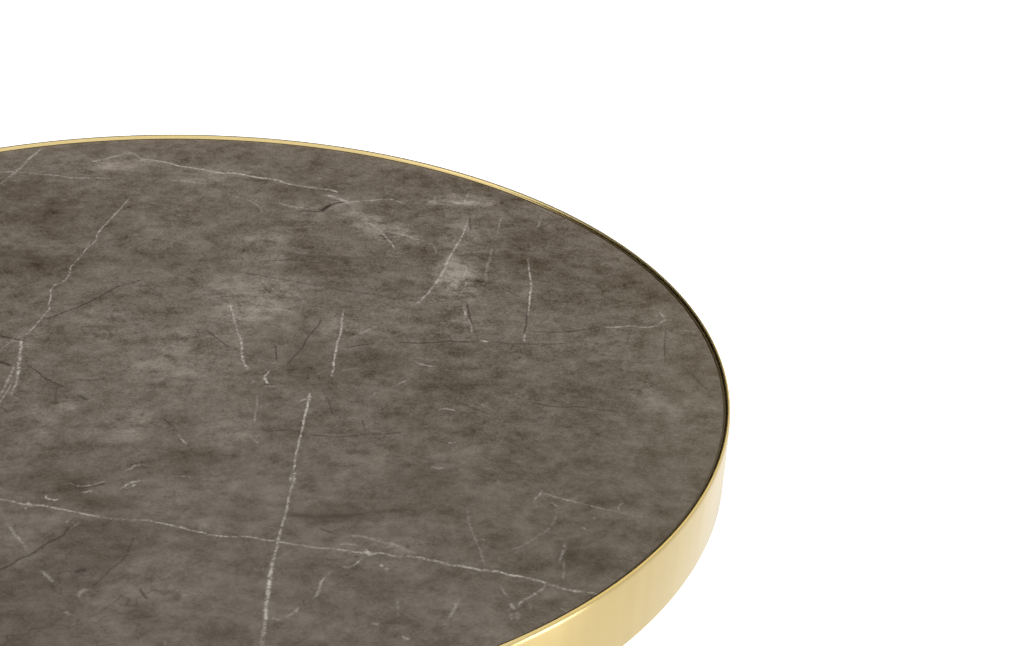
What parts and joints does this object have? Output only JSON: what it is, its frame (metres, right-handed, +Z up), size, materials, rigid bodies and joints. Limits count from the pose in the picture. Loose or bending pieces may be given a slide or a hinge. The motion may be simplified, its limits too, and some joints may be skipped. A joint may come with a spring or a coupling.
{
  "type": "side table",
  "caption": "Round pedestal side table with a dark veined stone top inlaid in a thin gold metal band, on a slim column and weighted round base with levelling feet.",
  "frame": {"origin": "centre of the footprint on the floor, at the soles of the foot pads", "axes": "+Z up along the column; the table is round, and X and Y run through opposite feet"},
  "size_m": [0.4499, 0.45, 0.55],
  "materials": {
    "stone": "honed, dark brown-grey with pale veins",
    "gold_band": "satin gold coating over steel, brushed along the band",
    "gold_column": "satin gold coating over steel",
    "gold_base": "satin gold coating over steel",
    "silicone": "neutral cured silicone",
    "board": "fibreboard, sealed dark",
    "plate_black": "matt black powder coat",
    "zinc": "bright zinc plate",
    "iron": "black painted casting",
    "pad": "black nylon"
  },
  "bodies": {
    "table": {"stone_top": "stone", "rim_band": "gold_band", "bedding_dabs": "silicone", "core_board": "board", "support_tabs": "gold_band", "tab_screws": "zinc", "mounting_plate": "plate_black", "plate_screws": "zinc", "top_plug": "zinc", "top_collar": "gold_column", "column_tube": "gold_column", "tie_rod": "zinc", "base_collar": "gold_column", "base_plug": "zinc", "base_cover": "gold_base", "base_weight": "iron", "tie_washer": "zinc", "lock_washer": "zinc", "tie_nut": "zinc", "foot_inserts": "zinc"},
    "pad_right": {"foot_pad_right": "pad"},
    "stem_right": {"foot_stem_right": "zinc"},
    "pad_back": {"foot_pad_back": "pad"},
    "stem_back": {"foot_stem_back": "zinc"},
    "pad_left": {"foot_pad_left": "pad"},
    "stem_left": {"foot_stem_left": "zinc"},
    "pad_front": {"foot_pad_front": "pad"},
    "stem_front": {"foot_stem_front": "zinc"}
  },
  "joints": [
    {"name": "foot_right_travel", "type": "slide", "parent": "table", "child": "pad_right", "axis": [0, 0, -1], "range_m": [0, 0.008]},
    {"name": "foot_right_turn", "type": "hinge", "parent": "pad_right", "child": "stem_right", "pos_m": [0.125, 0, 0.0046], "axis": [0, 0, -1], "range_deg": [0, 2304]},
    {"name": "foot_back_travel", "type": "slide", "parent": "table", "child": "pad_back", "axis": [0, 0, -1], "range_m": [0, 0.008]},
    {"name": "foot_back_turn", "type": "hinge", "parent": "pad_back", "child": "stem_back", "pos_m": [0, 0.125, 0.0046], "axis": [0, 0, -1], "range_deg": [0, 2304]},
    {"name": "foot_left_travel", "type": "slide", "parent": "table", "child": "pad_left", "axis": [0, 0, -1], "range_m": [0, 0.008]},
    {"name": "foot_left_turn", "type": "hinge", "parent": "pad_left", "child": "stem_left", "pos_m": [-0.125, 0, 0.0046], "axis": [0, 0, -1], "range_deg": [0, 2304]},
    {"name": "foot_front_travel", "type": "slide", "parent": "table", "child": "pad_front", "axis": [0, 0, -1], "range_m": [0, 0.008]},
    {"name": "foot_front_turn", "type": "hinge", "parent": "pad_front", "child": "stem_front", "pos_m": [0, -0.125, 0.0046], "axis": [0, 0, -1], "range_deg": [0, 2304]}
  ],
  "couplings": [
    {"joint": "foot_right_turn", "follows": "foot_right_travel", "rad_per_m": 5026.5},
    {"joint": "foot_back_turn", "follows": "foot_back_travel", "rad_per_m": 5026.5},
    {"joint": "foot_left_turn", "follows": "foot_left_travel", "rad_per_m": 5026.5},
    {"joint": "foot_front_turn", "follows": "foot_front_travel", "rad_per_m": 5026.5}
  ]
}
